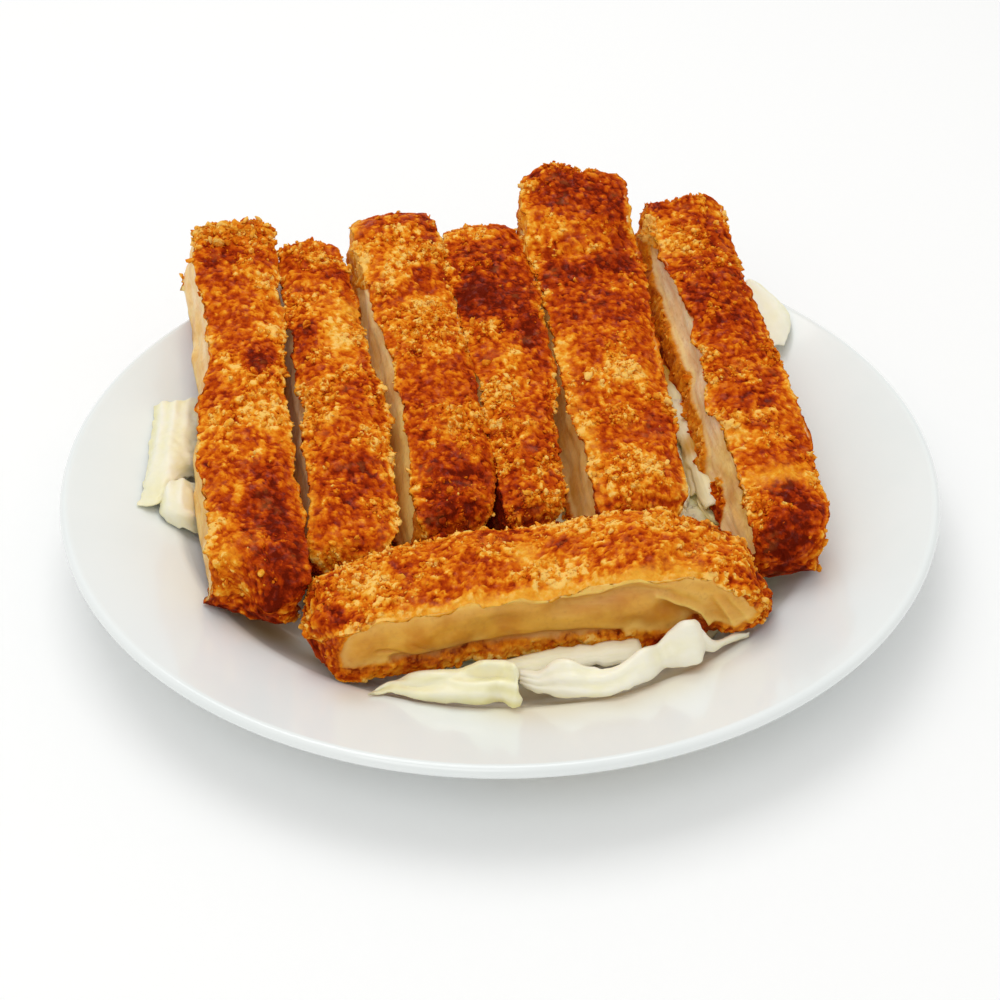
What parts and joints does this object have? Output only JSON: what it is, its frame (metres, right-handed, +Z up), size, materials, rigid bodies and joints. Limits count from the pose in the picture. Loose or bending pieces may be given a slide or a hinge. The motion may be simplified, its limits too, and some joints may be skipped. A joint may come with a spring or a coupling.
{
  "type": "chicken katsu plate",
  "caption": "Breaded fried chicken cutlet cut into slices, laid side by side on a bed of chopped cabbage with one slice across the front, on a round rimmed plate.",
  "frame": {"origin": "centre of the plate, on the surface that its foot ring stands on", "axes": "+Z up; +Y from the near edge, where the cross slice lies, to the far edge; +X to the right seen from the near edge"},
  "size_m": [0.23, 0.23, 0.06],
  "materials": {
    "plate_glaze": "glossy white glaze",
    "fried_crust": "rough fried breadcrumb crust",
    "cabbage": "moist pale green",
    "cabbage_leaf": "moist cream white"
  },
  "bodies": {
    "root": {"plate": "plate_glaze", "slice_1": "fried_crust", "slice_2": "fried_crust", "slice_3": "fried_crust", "slice_4": "fried_crust", "slice_5": "fried_crust", "slice_6": "fried_crust", "slice_7": "fried_crust", "cabbage_bed": "cabbage", "leaf_front_left": "cabbage_leaf", "leaf_front_right": "cabbage_leaf", "leaf_side_upper": "cabbage_leaf", "leaf_side_lower": "cabbage_leaf", "leaf_rear_right": "cabbage_leaf"}
  },
  "joints": []
}
